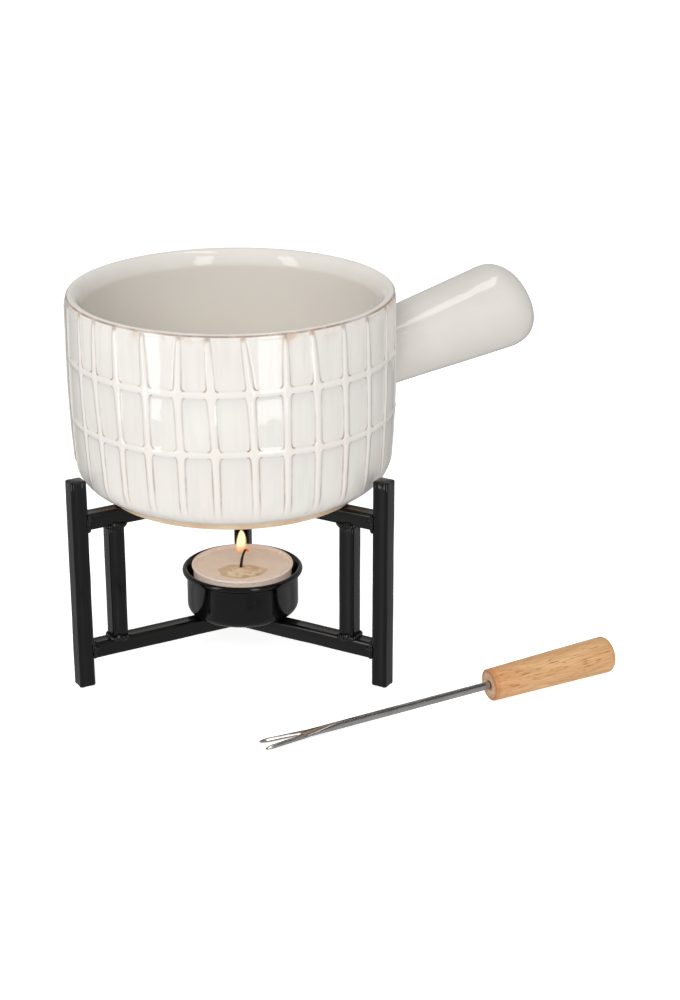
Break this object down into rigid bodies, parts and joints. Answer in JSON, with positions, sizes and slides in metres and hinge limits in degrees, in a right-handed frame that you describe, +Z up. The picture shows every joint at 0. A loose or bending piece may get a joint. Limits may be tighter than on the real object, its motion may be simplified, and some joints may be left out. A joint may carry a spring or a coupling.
{
  "type": "fondue pot set",
  "caption": "Ceramic fondue pot with a hollow side handle, standing on a welded steel tealight warmer, with a tealight and a long two-pronged fork lying beside it",
  "frame": {"origin": "middle of the set's footprint on the table top", "axes": "+Z up; +X along the set's longest side, towards the pot handle's end and the fork's grip; front towards -Y"},
  "size_m": [0.2093, 0.1588, 0.1482],
  "materials": {
    "black_steel": "satin black powder coat",
    "white_glaze": "glossy off-white glaze with tan breaks on the edges",
    "clear_plastic": "clear moulded, glossy",
    "wax": "waxy, slightly translucent",
    "wick_cotton": "burnt cotton braid",
    "sustainer_metal": "bright tinplate",
    "fork_steel": "polished, drawn",
    "fork_wood": "oiled, fine grained"
  },
  "bodies": {
    "warmer": {"leg_back": "black_steel", "leg_left": "black_steel", "leg_right": "black_steel", "upper_spoke_back": "black_steel", "upper_spoke_left": "black_steel", "upper_spoke_right": "black_steel", "lower_spoke_back": "black_steel", "lower_spoke_left": "black_steel", "lower_spoke_right": "black_steel", "strut_back": "black_steel", "strut_left": "black_steel", "strut_right": "black_steel", "upper_welds": "black_steel", "lower_welds": "black_steel", "candle_holder": "black_steel"},
    "pot": {"pot_body": "white_glaze", "pot_handle": "white_glaze"},
    "tealight": {"tealight_cup": "clear_plastic", "tealight_wax": "wax", "tealight_wick": "wick_cotton", "wick_sustainer": "sustainer_metal"},
    "fork": {"fork_rod": "fork_steel", "fork_handle": "fork_wood"}
  },
  "joints": [
    {"name": "pot_lift", "type": "slide", "parent": "warmer", "child": "pot", "axis": [0, 0, 1], "range_m": [0, 0.06]},
    {"name": "tealight_lift", "type": "slide", "parent": "warmer", "child": "tealight", "axis": [0, 0, 1], "range_m": [0, 0.0195]},
    {"name": "fork_lift", "type": "slide", "parent": "warmer", "child": "fork", "axis": [0, 0, 1], "range_m": [0, 0.06]}
  ]
}
